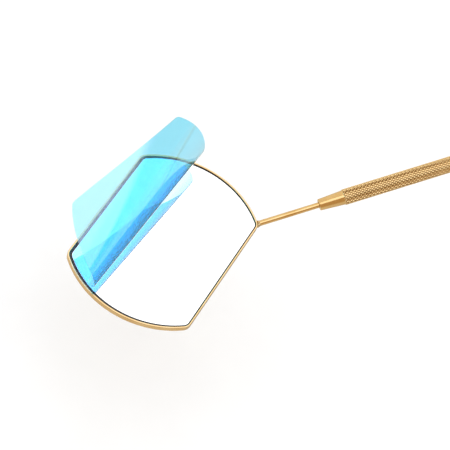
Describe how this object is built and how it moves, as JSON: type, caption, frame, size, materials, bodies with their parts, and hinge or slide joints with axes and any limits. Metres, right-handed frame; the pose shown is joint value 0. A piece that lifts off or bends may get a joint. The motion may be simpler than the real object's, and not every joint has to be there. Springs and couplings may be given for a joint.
{
  "type": "mouth mirror",
  "caption": "Hand mirror with a barrel-shaped head on a thin stem that screws into a knurled handle, with its protective film peeled half back.",
  "frame": {"origin": "centre of the flat back of the head", "axes": "+Z the way the mirror faces, +X from the head's centre towards the stem, so the handle's axis lies in the XZ plane"},
  "size_m": [0.2057, 0.0756, 0.0416],
  "materials": {
    "polished_gold": "gold-coloured plating, polished",
    "knurled_gold": "gold-coloured plating over a diamond knurl",
    "braze_metal": "satin, slightly uneven",
    "glass": "clear float glass",
    "mirror": "front-surface mirror",
    "black_sealant": "glossy black bead",
    "foam_tape": "double-sided tape",
    "blue_film": "thin clear blue film"
  },
  "bodies": {
    "head": {"head_tray": "polished_gold", "adhesive_pad": "foam_tape", "mirror_glass": "glass", "mirror_coating": "mirror", "edge_seal": "black_sealant", "stem": "polished_gold", "stem_braze": "braze_metal"},
    "handle": {"front_cone": "polished_gold", "handle_tube": "knurled_gold", "rear_plug": "polished_gold"},
    "stuck_film": {"film_stuck": "blue_film"},
    "lifted_film": {"film_flap": "blue_film"}
  },
  "joints": [
    {"name": "handle_unscrew", "type": "slide", "parent": "head", "child": "handle", "axis": [0.9598, 0, 0.2807], "range_m": [0, 0.014]},
    {"name": "film_lift", "type": "slide", "parent": "head", "child": "stuck_film", "axis": [0, 0, 1], "range_m": [0, 0.04]},
    {"name": "film_peel", "type": "hinge", "parent": "stuck_film", "child": "lifted_film", "pos_m": [-0.0108, 0.01174, 0.00205], "axis": [-0.7132, -0.7009, 0], "range_deg": [0, 30]}
  ]
}
